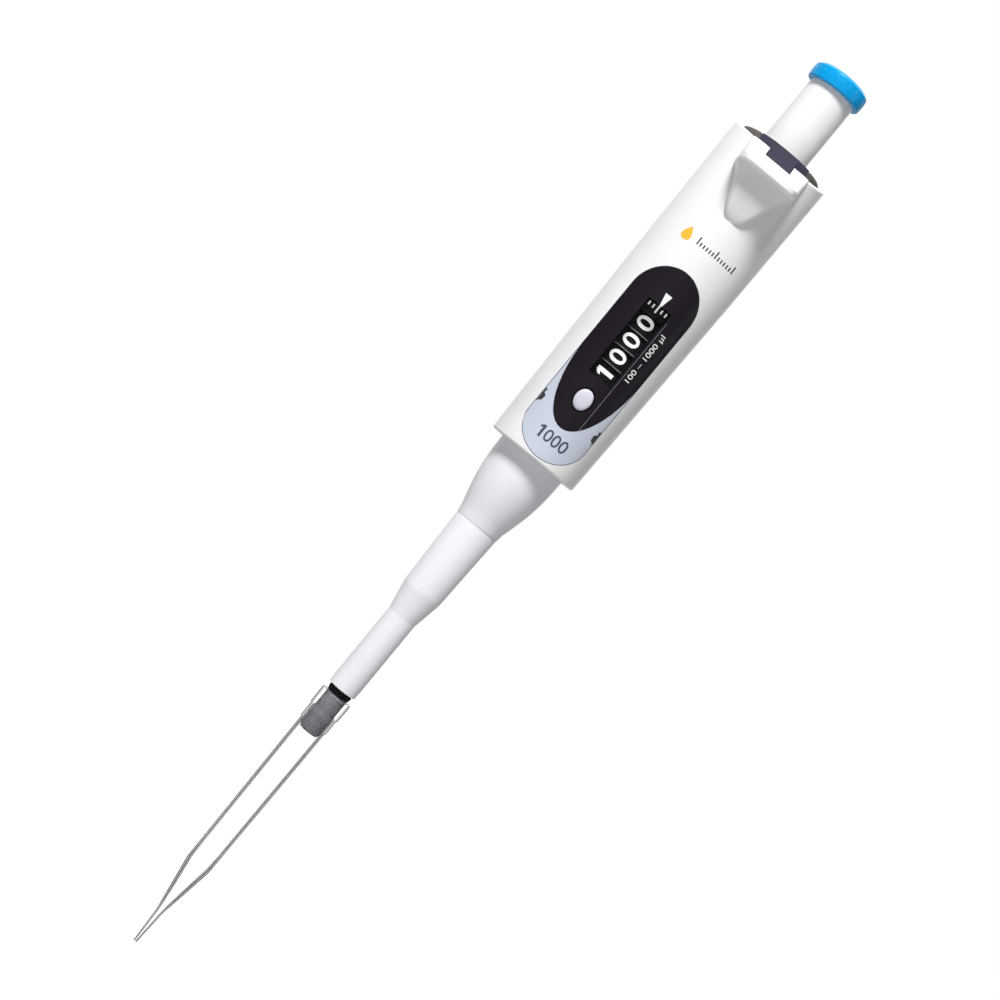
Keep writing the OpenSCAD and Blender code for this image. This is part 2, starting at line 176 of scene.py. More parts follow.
printWhite = finish("printWhite", (0.86, 0.86, 0.86), 0.5, bump=0.05)
# the white of the digits and fine ticks glows faintly: painted light that makes up for the shade
# they lie in behind the window
windowGlowWhite = finish("windowGlowWhite", (0.88, 0.88, 0.88), 0.5, bump=0.05,
                    Emission_Color=(1, 1, 1, 1), Emission_Strength=0.45)
# the grey of the window bars, also used for the painted reflection line on the bezel
greyBarsAndReflection = finish("greyBarsAndReflection", (0.30, 0.30, 0.32), 0.5, bump=0.05)
printSlate = finish("printSlate", (0.06, 0.075, 0.125), 0.5, bump=0.05)
printDark = finish("printDark", (0.035, 0.035, 0.04), 0.5, bump=0.05)
printAmber = finish("printAmber", (0.93, 0.5, 0.045), 0.45, bump=0.05)
for part in frame["record"]["subparts"]:
    for held in frame["nodes"][part["node"]].material_slots:
        held.material = finishes[part["material_slot"]]
print("materials made")


# making and placing meshes

def meshFrom(name, verts, faces):
    made = bpy.data.meshes.new(name)
    made.from_pydata([tuple(v) for v in verts], [], faces)
    return tidied(made)


def tidied(mesh, smoothTo=34):
    # doubles merged, faces turned outwards, edges sharper than smoothTo degrees kept
    bm = bmesh.new()
    bm.from_mesh(mesh)
    bmesh.ops.remove_doubles(bm, verts=bm.verts, dist=0.0005)
    bmesh.ops.recalc_face_normals(bm, faces=bm.faces)
    for face in bm.faces:
        face.smooth = True
    bm.to_mesh(mesh)
    bm.free()
    mesh.set_sharp_from_angle(angle=radians(smoothTo))
    return mesh


def evaluated(holder):
    # the plain mesh that an object's modifiers give; the object is then removed
    graph = bpy.context.evaluated_depsgraph_get()
    made = bpy.data.meshes.new_from_object(holder.evaluated_get(graph))
    bpy.data.objects.remove(holder)
    return made


def holderOf(mesh):
    holder = bpy.data.objects.new("holder", mesh)
    scene.collection.objects.link(holder)
    return holder


def combined(mesh, other, how):
    # exact union, difference or intersection of two closed meshes
    first, second = holderOf(mesh), holderOf(other)
    step = first.modifiers.new("combine", "BOOLEAN")
    step.operation = how
    step.solver = "EXACT"
    step.object = second
    made = evaluated(first)
    bpy.data.objects.remove(second)
    return made


def joined(meshes):
    # several closed meshes kept side by side in one
    bm = bmesh.new()
    for mesh in meshes:
        bm.from_mesh(mesh)
    made = bpy.data.meshes.new("joined")
    bm.to_mesh(made)
    bm.free()
    return made


def piece(name, mesh, body, slot, nodes=(), ink=None, bevel=0, smoothTo=34):
    # puts a finished mesh on its body; nodes are the CAD solids that it stands for
    made = tidied(mesh, smoothTo)
    made.name = name
    made.transform(toFrame)
    made.materials.clear()
    made.materials.append(ink or finishes[slot])
    shown = bpy.data.objects.new(name, made)
    scene.collection.objects.link(shown)
    if bevel:
        step = shown.modifiers.new("edges", "BEVEL")
        step.width = bevel * mm
        step.segments = 2
        step.limit_method = "ANGLE"
        step.angle_limit = radians(40)
        step.harden_normals = True
    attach(shown, body)
    if nodes:
        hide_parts(*nodes)


def block(low, high):
    # a box between two opposite corners
    corners = [(x, y, z) for x in (low[0], high[0]) for y in (low[1], high[1])
               for z in (low[2], high[2])]
    sides = [(0, 1, 3, 2), (4, 6, 7, 5), (0, 4, 5, 1), (2, 3, 7, 6), (0, 2, 6, 4), (1, 5, 7, 3)]
    return meshFrom("block", corners, sides)


# node trees for turned bodies and for small shapes that repeat

def startTree(name, sockets):
    tree = bpy.data.node_groups.new(name, "GeometryNodeTree")
    tree.interface.new_socket("Geometry", in_out="INPUT", socket_type="NodeSocketGeometry")
    for label, kind in sockets.items():
        tree.interface.new_socket(label, in_out="INPUT", socket_type="NodeSocket" + kind)
    tree.interface.new_socket("Geometry", in_out="OUTPUT", socket_type="NodeSocketGeometry")
    return tree, newNode(tree, "NodeGroupInput"), newNode(tree, "NodeGroupOutput")


def mathNode(tree, operation, first, second=None):
    made = newNode(tree, "ShaderNodeMath", operation=operation)
    for socket, value in zip(made.inputs, (first, second)):
        if value is None:
            continue
        if isinstance(value, (int, float)):
            socket.default_value = value
        else:
            tree.links.new(value, socket)
    return made.outputs[0]


def endTree(tree, shape, start, end):
    # every tree ends in Realize Instances and Set Material
    real = newNode(tree, "GeometryNodeRealizeInstances")
    paint = newNode(tree, "GeometryNodeSetMaterial")
    tree.links.new(shape, real.inputs["Geometry"])
    tree.links.new(real.outputs["Geometry"], paint.inputs["Geometry"])
    tree.links.new(start.outputs["Material"], paint.inputs["Material"])
    tree.links.new(paint.outputs["Geometry"], end.inputs["Geometry"])


def turnedTree():
    # turns the outline given as a string of points around the Z axis
    tree, start, end = startTree("turnedBody", {"Segments": "Int", "Material": "Material"})
    link = tree.links.new
    count = newNode(tree, "GeometryNodeAttributeDomainSize")
    link(start.outputs["Geometry"], count.inputs["Geometry"])
    rows = count.outputs["Point Count"]
    sheet = newNode(tree, "GeometryNodeMeshGrid")
    link(mathNode(tree, "ADD", start.outputs["Segments"], 1), sheet.inputs["Vertices X"])
    link(rows, sheet.inputs["Vertices Y"])
    index = newNode(tree, "GeometryNodeInputIndex").outputs["Index"]
    row = mathNode(tree, "MODULO", index, rows)
    column = mathNode(tree, "FLOOR", mathNode(tree, "DIVIDE", index, rows))
    turn = mathNode(tree, "DIVIDE", mathNode(tree, "MULTIPLY", column, 2 * pi),
                    start.outputs["Segments"])
    sample = newNode(tree, "GeometryNodeSampleIndex", data_type="FLOAT_VECTOR", domain="POINT")
    link(start.outputs["Geometry"], sample.inputs["Geometry"])
    link(newNode(tree, "GeometryNodeInputPosition").outputs["Position"], sample.inputs["Value"])
    link(row, sample.inputs["Index"])
    outline = newNode(tree, "ShaderNodeSeparateXYZ")
    link(sample.outputs["Value"], outline.inputs["Vector"])
    point = newNode(tree, "ShaderNodeCombineXYZ")
    link(mathNode(tree, "MULTIPLY", outline.outputs["X"], mathNode(tree, "COSINE", turn)),
         point.inputs["X"])
    link(mathNode(tree, "MULTIPLY", outline.outputs["X"], mathNode(tree, "SINE", turn)),
         point.inputs["Y"])
    link(outline.outputs["Z"], point.inputs["Z"])
    moved = newNode(tree, "GeometryNodeSetPosition")
    link(sheet.outputs["Mesh"], moved.inputs["Geometry"])
    link(point.outputs["Vector"], moved.inputs["Position"])
    merged = newNode(tree, "GeometryNodeMergeByDistance", {"Distance": 0.0002})
    link(moved.outputs["Geometry"], merged.inputs["Geometry"])
    endTree(tree, merged.outputs["Geometry"], start, end)
    return tree


def aroundTree():
    # sets copies of the given piece around the Z axis
    tree, start, end = startTree("setAround", {"Copies": "Int", "Material": "Material"})
    link = tree.links.new
    points = newNode(tree, "GeometryNodePoints")
    link(start.outputs["Copies"], points.inputs["Count"])
    index = newNode(tree, "GeometryNodeInputIndex").outputs["Index"]
    turn = newNode(tree, "ShaderNodeCombineXYZ")
    link(mathNode(tree, "DIVIDE", mathNode(tree, "MULTIPLY", index, 2 * pi),
                  start.outputs["Copies"]), turn.inputs["Z"])
    copies = newNode(tree, "GeometryNodeInstanceOnPoints")
    link(points.outputs[0], copies.inputs["Points"])
    link(start.outputs["Geometry"], copies.inputs["Instance"])
    link(turn.outputs["Vector"], copies.inputs["Rotation"])
    endTree(tree, copies.outputs["Instances"], start, end)
    return tree


def rowTree():
    # sets copies of the given piece in a row along X
    tree, start, end = startTree("setInRow", {"Copies": "Int", "Spacing": "Float",
                                              "Material": "Material"})
    link = tree.links.new
    points = newNode(tree, "GeometryNodePoints")
    link(start.outputs["Copies"], points.inputs["Count"])
    index = newNode(tree, "GeometryNodeInputIndex").outputs["Index"]
    spot = newNode(tree, "ShaderNodeCombineXYZ")
    link(mathNode(tree, "MULTIPLY", index, start.outputs["Spacing"]), spot.inputs["X"])
    link(spot.outputs["Vector"], points.inputs["Position"])
    copies = newNode(tree, "GeometryNodeInstanceOnPoints")
    link(points.outputs[0], copies.inputs["Points"])
    link(start.outputs["Geometry"], copies.inputs["Instance"])
    endTree(tree, copies.outputs["Instances"], start, end)
    return tree


trees = {"turned": turnedTree(), "around": aroundTree(), "row": rowTree()}


def grown(tree, mesh, material, **values):
    # runs one of the trees on a mesh and gives back the plain result
    holder = holderOf(mesh)
    step = holder.modifiers.new("nodes", "NODES")
    step.node_group = trees[tree]
    values["Material"] = material
    for item in trees[tree].interface.items_tree:
        if item.in_out == "INPUT" and item.name in values:
            step[item.identifier] = values[item.name]
    return evaluated(holder)


def rounded(points):
    # an outline whose corners (r, z, fillet) are rounded to their fillets
    out = []
    for i, point in enumerate(points):
        if len(point) < 3 or i in (0, len(points) - 1):
            out.append(point[:2])
            continue
        here, before, after = (Vector(points[k][:2]) for k in (i, i - 1, i + 1))
        back, ahead = before - here, after - here
        half = back.angle(ahead) / 2
        reach = min(point[2] / tan(half), 0.49 * back.length, 0.49 * ahead.length)
        middle = here + (back.normalized() + ahead.normalized()).normalized() * reach / cos(half)
        first, last = here + back.normalized() * reach, here + ahead.normalized() * reach
        sweep = (first - middle).angle(last - middle)
        steps = max(3, ceil(sweep / 0.28))
        for k in range(steps + 1):
            a, b = sin(sweep * (1 - k / steps)), sin(sweep * k / steps)
            out.append(tuple(middle + ((first - middle) * a + (last - middle) * b) / sin(sweep)))
    return out


def turned(points, slot, segments=128):
    # an outline of (r, z) or (r, z, fillet) turned into a round body
    outline = rounded(points)
    made = bpy.data.meshes.new("outline")
    made.from_pydata([(r, 0, z) for r, z in outline],
                     [(i, i + 1) for i in range(len(outline) - 1)], [])
    return tidied(grown("turned", made, finishes[slot], Segments=segments))


# tip, cone and seal

tip = {"rim": height("tip", 1), "rimR": 5.0, "bodyR": 4.3, "bodyTop": 78.7, "stepR": 4.6,
       "stepTop": 83.5, "shoulder": 27.9, "throat": 11, "outletR": 0.45, "seatR": 3.38,
       "mouthR": 3.94, "segments": 96}
piece("tipTube", turned([
    (tip["outletR"], 0), (0.6, 0), (1.2, tip["throat"], 20), (3.95, tip["shoulder"], 6),
    (tip["bodyR"], 72.4), (tip["bodyR"], tip["bodyTop"], 0.15),
    (tip["stepR"], tip["bodyTop"] + 0.4, 0.15), (tip["stepR"], tip["stepTop"], 0.15),
    (tip["rimR"] - 0.1, tip["stepTop"] + 0.4, 0.15), (tip["rimR"], tip["rim"], 0.2),
    (tip["mouthR"], tip["rim"], 0.1), (tip["seatR"], 88.9, 0.2), (tip["seatR"], 84.4, 0.2),
    (3.85, 83.4, 0.2), (3.78, 72.4), (3.45, 28.6, 6), (0.75, tip["throat"], 20),
    (tip["outletR"], 3), (tip["outletR"], 0)], "tip_clear", tip["segments"]),
    "tip", "tip_clear", ["tip"])

cone = {"low": height("tip_cone", 0), "channelR": 0.9, "noseR": 3.2, "neckR": 3.26, "bodyR": 4.95,
        "headR": 6.28, "headLow": 165, "headTop": 168, "boreR": 4.25, "ribs": 30, "ribR": 0.17,
        "ribTop": 89.3}
piece("tipCone", turned([
    (cone["channelR"], cone["low"]), (2.7, cone["low"], 0.2),
    (cone["noseR"], cone["low"] + 0.6, 0.3), (cone["noseR"], 83.8), (cone["neckR"], 84.6),
    (cone["neckR"], 92), (3.45, 118), (cone["bodyR"], 127.3), (cone["bodyR"], cone["headLow"]),
    (cone["headR"], cone["headLow"]), (cone["headR"], cone["headTop"]),
    (cone["boreR"], cone["headTop"]), (cone["boreR"], 128.8), (cone["channelR"], 124),
    (cone["channelR"], cone["low"])], "cone_grey"), "handle", "cone_grey", ["tip_cone"])
rib = turned([(0, cone["low"] + 0.7), (cone["ribR"], cone["low"] + 0.9),
              (cone["ribR"], cone["ribTop"] - 0.3), (0, cone["ribTop"])], "cone_grey", 8)
rib.transform(Matrix.Translation((cone["noseR"] + 0.02, 0, 0)))
piece("coneRibs", grown("around", rib, finishes["cone_grey"], Copies=cone["ribs"]),
      "handle", "cone_grey")

seal = {"low": 89.7, "top": 91.4, "boreR": 3.3, "lipR": 3.76, "segments": 96}
piece("tipSeal", turned([
    (seal["boreR"], seal["low"]), (seal["boreR"] + 0.1, seal["low"], 0.1),
    (seal["lipR"], seal["top"] - 0.6, 0.3), (seal["lipR"], seal["top"], 0.15),
    (seal["boreR"], seal["top"]), (seal["boreR"], seal["low"])], "seal_black", seal["segments"]),
    "handle", "seal_black", ["tip_seal"])

# ejector sleeve and bell

sleeve = {"low": height("ejector_sleeve", 0), "top": height("ejector_bell", 0), "boreR": 3.92,
          "lowR": 4.5, "midR": 6.15, "topR": 6.95, "spigotR": 6, "spigotTop": 152.8,
          "coneLow": 118.3, "coneTop": 127.3, "segments": 160}
piece("ejectorSleeve", turned([
    (sleeve["boreR"], sleeve["low"]), (sleeve["lowR"], sleeve["low"], 0.15),
    (sleeve["lowR"], sleeve["coneLow"], 3), (sleeve["midR"], sleeve["coneTop"], 3),
    (sleeve["topR"], sleeve["top"] - 0.05, 0.12), (sleeve["spigotR"], sleeve["top"]),
    (sleeve["spigotR"], sleeve["spigotTop"]), (5.5, sleeve["spigotTop"]), (5.5, 150),
    (5.3, sleeve["coneTop"]), (sleeve["boreR"], sleeve["coneLow"]),
    (sleeve["boreR"], sleeve["low"])], "sleeve_white", sleeve["segments"]),
    "ejector", "sleeve_white", ["ejector_sleeve"])

# the bell's outside swells in one curve from the sleeve to the handle
bell = {"low": height("ejector_bell", 0), "top": height("ejector_bell", 1), "r": 10.7,
        "seatR": 6.05, "mouthR": 7.8, "liningR": 9.7, "segments": 160,
        "curve": [(7.35, 154.0), (7.8, 155.6), (8.25, 157.3), (8.72, 159.1), (9.15, 160.9),
                  (9.52, 162.6), (9.85, 164.4), (10.12, 166.2), (10.33, 168.1), (10.48, 170.0),
                  (10.58, 172.0), (10.66, 174.2)]}
piece("ejectorBell", turned(
    [(bell["seatR"], bell["low"]), (7.02, bell["low"], 0.2)] + bell["curve"] + [
        (bell["r"], 177), (bell["r"], bell["top"]), (bell["mouthR"], bell["top"]),
        (bell["mouthR"], 185), (bell["liningR"], 185), (bell["liningR"], 176), (9.4, 170.4),
        (8.75, 162.5), (7.35, 156.9), (6.45, 153.5), (bell["seatR"], 153),
        (bell["seatR"], bell["low"])], "sleeve_white", bell["segments"]),
    "ejector", "sleeve_white", ["ejector_bell"])
print("lower part made")

# flat outlines laid on the handle

handle = {"low": height("handle_front", 0), "top": height("handle_rear", 1), "lowR": 14.35,
          "midR": 15.65, "mid": 243, "topR": 16.05, "mouthR": 11.05, "wall": 1.5,
          "slope": tan(radians(12))}


def handleR(z):
    # radius of the handle at a height
    if z < handle["mid"]:
        share = (z - handle["low"]) / (handle["mid"] - handle["low"])
        return handle["lowR"] + (handle["midR"] - handle["lowR"]) * share
    share = (z - handle["mid"]) / (handle["top"] - handle["mid"])
    return handle["midR"] + (handle["topR"] - handle["midR"]) * share


def flat(points):
    # a flat outline, drawn in x and z
    bm = bmesh.new()
    bm.faces.new([bm.verts.new((x, 0, z)) for x, z in points])
    bmesh.ops.triangulate(bm, faces=bm.faces)
    return bm


def flatHole(bm, points):
    # cuts a straight-sided hole out of a flat outline
    lowX, highX = min(p[0] for p in points), max(p[0] for p in points)
    lowZ, highZ = min(p[1] for p in points), max(p[1] for p in points)
    for place, normal in (((lowX, 0, 0), (1, 0, 0)), ((highX, 0, 0), (1, 0, 0)),
                          ((0, 0, lowZ), (0, 0, 1)), ((0, 0, highZ), (0, 0, 1))):
        bmesh.ops.bisect_plane(bm, geom=bm.verts[:] + bm.edges[:] + bm.faces[:],
                               plane_co=place, plane_no=normal)
    inside = [f for f in bm.faces if lowX < f.calc_center_median().x < highX
              and lowZ < f.calc_center_median().z < highZ]
    bmesh.ops.delete(bm, geom=inside, context="FACES")


def laid(bm, out, depth, surface=handleR, step=0.8):
    # lays a flat outline on a round surface, with a thickness from -depth to out
    spans = [[v.co[axis] for v in bm.verts] for axis in (0, 2)]
    for span, normal, gap in ((spans[0], (1, 0, 0), step), (spans[1], (0, 0, 1), 4 * step)):
        for k in range(floor(min(span) / gap) + 1, ceil(max(span) / gap)):
            bmesh.ops.bisect_plane(bm, geom=bm.verts[:] + bm.edges[:] + bm.faces[:],
                                   plane_co=Vector(normal) * k * gap, plane_no=normal)
    bm.verts.index_update()
    count = len(bm.verts)
    verts, faces = [], []
    for level in (out, -depth):
        for v in bm.verts:
            r = surface(v.co.z) + level
            verts.append((v.co.x, -sqrt(r * r - v.co.x ** 2), v.co.z))
    for face in bm.faces:
        ring = [v.index for v in face.verts]
        faces += [ring, [i + count for i in reversed(ring)]]
    for edge in bm.edges:
        if len(edge.link_faces) == 1:
            a, b = (v.index for v in edge.verts)
            faces.append([a, b, b + count, a + count])
    bm.free()
    return meshFrom("laid", verts, faces)


def halfOval(half, rise, z, fromAngle, steps=24, trim=0):
    # points of a half oval, from one side over its end to the other
    return [(half * cos(radians(a)), z + rise * sin(radians(a)))
            for a in (fromAngle + trim + (180 - 2 * trim) * k / steps for k in range(steps + 1))]


# display bezel, label panel, window and lock button

display = {"half": 10, "low": 187.3, "proud": 0.1, "panelProud": 0.05, "thick": 0.7,
           "panelRise": 9, "panelEdge": 1.1, "panelTop": 212, "lowSide": 210.5,
           "highSide": 231.5, "top": 242.0,
           "windowHalf": 4, "windowLow": 204.4, "windowTop": 230.8, "lockZ": 197.2,
           "lockHalf": 2.6, "lockRise": 3.3, "pocket": 0.8, "gap": 0.1, "groove": 0.2,
           "holeGap": 0.5}


def bezelOutline(gap):
    # the long dark oval, widened by a gap
    half = display["half"] + gap
    return (halfOval(half, display["top"] - display["highSide"] + gap, display["highSide"], 0)
            + halfOval(half, display["lowSide"] - display["low"] + gap, display["lowSide"], 180))


def windowOutline(gap):
    half = display["windowHalf"] + gap
    low, high = display["windowLow"] - gap, display["windowTop"] + gap
    return [(-half, low), (half, low), (half, high), (-half, high)]


def lockOutline(gap):
    half, rise = display["lockHalf"] + gap, display["lockRise"] + gap
    return (halfOval(half, rise, display["lockZ"], 0)[:-1]
            + halfOval(half, rise, display["lockZ"], 180)[:-1])


def throughFront(points):
    # a straight cutter through the front wall
    half = len(points)
    verts = [(x, -20, z) for x, z in points] + [(x, -5, z) for x, z in points]
    sides = [[i, (i + 1) % half, half + (i + 1) % half, half + i] for i in range(half)]
    return meshFrom("cutter", verts,
                    [list(range(half)), list(range(2 * half - 1, half - 1, -1))] + sides)


bezelMesh = flat(bezelOutline(0))
flatHole(bezelMesh, windowOutline(0))
bezelMesh = combined(laid(bezelMesh, display["proud"], display["thick"]),
                     throughFront(lockOutline(0.4)), "DIFFERENCE")
piece("displayBezel", bezelMesh, "handle", "bezel_black", ["display_bezel"], bevel=0.18)

# the label panel fills the space between the bezel's lower end and the handle's edge
panelMiddle = handle["low"] + display["panelEdge"] + display["panelRise"]
panelPoints = (halfOval(display["half"], display["panelRise"], panelMiddle, 180)
               + halfOval(display["half"] + display["gap"],
                          display["lowSide"] - display["low"] + display["gap"],
                          display["lowSide"], 180, trim=8.2)[::-1])
piece("labelPanel", laid(flat(panelPoints), display["panelProud"], display["thick"]), "handle",
      "label_silver", ["label_panel"], bevel=0.12)
piece("windowPane", laid(flat(windowOutline(-0.05)), 0, 0.8), "handle", "window_clear",
      ["display_window"])

lock = {"faceR": handleR(display["lockZ"]) - 0.07,
        "rows": [(1, -2.55), (1, -0.35), (0.975, -0.12), (0.92, 0.08), (0.84, 0.22),
                 (0.72, 0.33), (0.5, 0.4), (0.25, 0.42)]}


def lockDome():
    # an oval button whose crown stands a little proud of the bezel; each of its
    # rows is the outline shrunk by a share and moved out by a distance
    outline, rows = lockOutline(0), lock["rows"]
    verts = [(x * share, -lock["faceR"] - out,
              display["lockZ"] + (z - display["lockZ"]) * share)
             for share, out in rows for x, z in outline]
    n = len(outline)
    faces = [[r * n + i, r * n + (i + 1) % n, (r + 1) * n + (i + 1) % n, (r + 1) * n + i]
             for r in range(len(rows) - 1) for i in range(n)]
    ends = [list(range(n)), list(range((len(rows) - 1) * n, len(rows) * n))]
    return meshFrom("lock", verts, faces + ends)


piece("lockButton", lockDome(), "lock_button", "lock_grey", ["lock_button"], smoothTo=50)
print("display made")

# handle with its finger hook

hook = {"landZ": -tipLow.z / mm, "lipReach": 24.5, "lipHeight": 2.0, "lipRound": 0.5,
        "landBack": 20.6, "low": 260.7, "underBend": 0.62, "rootZ": 282.9, "rootR": 16,
        "topBend": 0.92, "top": 283.4, "columns": 64, "rowsUnder": 44, "rowsLip": 12,
        "rowsTop": 20, "inset": 0.9,
        "halfWidths": [(260.7, 0.6), (261.1, 1.5), (261.8, 2.5), (262.8, 3.5), (265.5, 4.9),
                       (268.5, 6.1), (272, 7.6), (274.5, 9.3), (275.5, 9.8), (283.4, 10.0)]}


def between(table, z):
    # a value read off a table of (height, value), straight between its rows
    for (z0, a), (z1, b) in zip(table, table[1:]):
        if z <= z1:
            return a + (b - a) * max(0, z - z0) / (z1 - z0)
    return table[-1][1]


def hookReach(z):
    # how far the hook stands in front of the axis at a height
    land, lip, bend = hook["landZ"], hook["lipReach"], hook["lipRound"]
    if z < land:
        share = max(0, (z - hook["low"]) / (land - hook["low"]))
        skin = handleR(hook["low"]) - 0.1
        return skin + (hook["landBack"] - skin) * share ** hook["underBend"]
    lipTop = land + hook["lipHeight"]
    if z < lipTop:
        edge = min(z - land, lipTop - z, bend)
        return lip - bend + sqrt(bend ** 2 - (bend - edge) ** 2)
    share = (z - lipTop) / (hook["rootZ"] - lipTop)
    return lip - bend - (lip - bend - hook["rootR"]) * share ** hook["topBend"]


def hookMesh():
    # rows of points up the hook, with its front rounded towards both sides
    land, columns, low = hook["landZ"], hook["columns"], hook["low"]
    lipTop, step = land + hook["lipHeight"], 0.001
    rows = [low + (land - low) * (1 - (1 - k / hook["rowsUnder"]) ** 1.5)
            for k in range(hook["rowsUnder"] + 1)]
    rows[-1] = land - step
    rows += [land + step + hook["lipHeight"] * k / hook["rowsLip"]
             for k in range(hook["rowsLip"] + 1)]
    rows += [lipTop + (hook["top"] - lipTop) * k / hook["rowsTop"]
             for k in range(1, hook["rowsTop"] + 1)]
    across = [sin(pi / 2 * (2 * i / columns - 1)) for i in range(columns + 1)]
    verts = []
    for z in rows:
        half = between(hook["halfWidths"], z)
        skins = [sqrt(handleR(z) ** 2 - (s * half) ** 2) for s in across]
        for s, skin in zip(across, skins):
            full = max(0, hookReach(z) - skin)
            verts.append((s * half, -(skin - 0.02 + full * (1 - abs(s) ** 7) ** (1 / 3.2)), z))
        for s, skin in zip(across[::-1], skins[::-1]):
            verts.append((s * half, -(skin - hook["inset"]), z))
    n = 2 * (columns + 1)
    faces = [[r * n + i, r * n + (i + 1) % n, (r + 1) * n + (i + 1) % n, (r + 1) * n + i]
             for r in range(len(rows) - 1) for i in range(n)]
    for row in (0, len(rows) - 1):
        faces += [[row * n + i, row * n + i + 1, row * n + n - 2 - i, row * n + n - 1 - i]
                  for i in range(columns)]
    return meshFrom("hook", verts, faces)


wall = handle["wall"]
shell = turned([
    (handle["mouthR"], handle["low"] + 1), (handle["mouthR"], handle["low"], 0.3),
    (handle["lowR"], handle["low"], 0.6), (handle["midR"], handle["mid"]),
    (handle["topR"], handle["top"], 1.3), (handle["topR"] - wall, handle["top"], 0.3),
    (handle["midR"] - wall, handle["mid"]), (handleR(handle["low"] + 3) - wall, handle["low"] + 3),
    (handle["mouthR"], handle["low"] + 2.2), (handle["mouthR"], handle["low"] + 1)],
    "body_white", 192)
for v in shell.vertices:
    # the top edge dips towards the front
    share = min(1, max(0, (v.co.z - 262) / (handle["top"] - 264)))
    v.co.z += min(0, v.co.y) * handle["slope"] * share ** 2

# the shells meet just behind the axis, each stopping a little way short of the seam
seam = {"y": 1.5, "short": 0.05, "half": 20, "low": 170, "high": 290}
front = combined(shell.copy(), block((-seam["half"], seam["y"] - seam["short"], seam["low"]),
                                     (seam["half"], seam["half"], seam["high"])), "DIFFERENCE")
pocketHalf = display["half"] + display["groove"]
panelPocket = (halfOval(pocketHalf, display["panelRise"] + display["groove"], panelMiddle, 180)
               + [(pocketHalf, display["panelTop"]), (-pocketHalf, display["panelTop"])])
for cutter in (laid(flat(bezelOutline(display["groove"])), 2, display["pocket"]),
               laid(flat(panelPocket), 2, display["pocket"] - 0.01),
               throughFront(windowOutline(display["holeGap"])),
               throughFront(lockOutline(display["holeGap"]))):
    front = combined(front, cutter, "DIFFERENCE")
front = combined(front, hookMesh(), "UNION")
notch = block((-4.35, -30, 280.4), (4.35, -12.9, seam["high"]))
front = combined(front, notch, "DIFFERENCE")
piece("handleFront", front, "handle", "body_white", ["handle_front"], smoothTo=30)

rear = combined(shell, block((-seam["half"], -seam["half"], seam["low"]),
                             (seam["half"], seam["y"] + seam["short"], seam["high"])), "DIFFERENCE")
keySlot = block((-7.4, 5, 272.5), (7.4, seam["half"], seam["high"]))
rear = combined(rear, keySlot, "DIFFERENCE")
piece("handleRear", rear, "handle", "body_white", ["handle_rear"], smoothTo=30)

# dark pad on the front of the collar, with the tab that reaches into the notch
pad = {"half": 8.3, "r": 13.7, "low": 281.8, "top": height("collar_pad", 1), "proud": 0.12,
       "tabHalf": 4.16, "tabFace": 15.86, "tabBack": 13.4, "tabDrop": 1.35, "tabUnder": 0.45}
padMesh = laid(flat([(-pad["half"], pad["low"]), (pad["half"], pad["low"]),
                     (pad["half"], pad["top"]), (-pad["half"], pad["top"])]), pad["proud"], 0.3,
               surface=lambda z: pad["r"])
tab = block((-pad["tabHalf"], -pad["tabFace"], pad["low"] - pad["tabDrop"]),
            (pad["tabHalf"], -pad["tabBack"], pad["top"] - pad["tabUnder"]))
piece("collarPad", combined(padMesh, tab, "UNION"), "handle", "pad_dark", ["collar_pad"])
print("handle made")

# button

button = {"tubeR": 7.3, "boreR": 6.2, "tubeLow": 262, "tubeTop": 309.6, "capR": 8.87,
          "capLow": 309, "capTop": height("button_cap", 1), "plugR": 6.1, "plugLow": 303,
          "dishR": 5.5, "segments": 160, "flutes": 24, "fluteR": 0.3}
piece("buttonTube", turned([
    (button["boreR"], button["tubeLow"]), (button["tubeR"], button["tubeLow"]),
    (button["tubeR"], button["tubeTop"]), (button["boreR"], button["tubeTop"]),
    (button["boreR"], button["tubeLow"])], "body_white"), "plunger", "body_white", ["button_tube"])
piece("buttonCap", turned([
    (0, button["plugLow"]), (button["plugR"], button["plugLow"]),
    (button["plugR"], button["tubeTop"]), (button["tubeR"] + 0.03, button["tubeTop"]),
    (button["tubeR"] + 0.03, button["capLow"]), (button["capR"], button["capLow"], 0.5),
    (button["capR"], button["capTop"] - 1.1, 0.5),
    (button["capR"] - 1.3, button["capTop"] - 0.1, 0.8),
    (button["dishR"], button["capTop"] - 0.35, 4), (0, button["capTop"] - 0.45)],
    "cap_blue", button["segments"]), "plunger", "cap_blue", ["button_cap"])
flute = turned([(0, button["capLow"] + 0.7), (button["fluteR"], button["capLow"] + 1.2),
                (button["fluteR"], button["capLow"] + 3.3), (0, button["capLow"] + 3.8)],
               "cap_blue", 12)
flute.transform(Matrix.Translation((button["capR"] - 0.22, 0, 0)))
piece("capFlutes", grown("around", flute, finishes["cap_blue"], Copies=button["flutes"]),
      "plunger", "cap_blue", smoothTo=60)
print("button made")

# lettering and marks

def lettering(words, bold=0.0):
    # flat letters drawn in x and z, with the baseline along x
    curve = bpy.data.curves.new("letters", "FONT")
    curve.body = words
    curve.offset = bold
    curve.resolution_u = 6
    curve.align_x = "CENTER"
    curve.align_y = "CENTER"
    holder = bpy.data.objects.new("letters", curve)
    scene.collection.objects.link(holder)
    made = evaluated(holder)
    bpy.data.curves.remove(curve)
    bm = bmesh.new()
    bm.from_mesh(made)
    bmesh.ops.remove_doubles(bm, verts=bm.verts, dist=0.0001)
    for v in bm.verts:
        v.co = (v.co.x, 0, v.co.y)
    return bm


def one(stroke):
    # a figure 1 with its flag, drawn one unit tall
    bm = bmesh.new()
    for points in ([(0, 0), (stroke, 0), (stroke, 1), (0, 1)],
                   [(0, 1), (0, 0.78), (-0.24, 0.66), (-0.24, 0.83)]):
        bm.faces.new([bm.verts.new((x * 0.62, 0, z)) for x, z in points])
    return bm


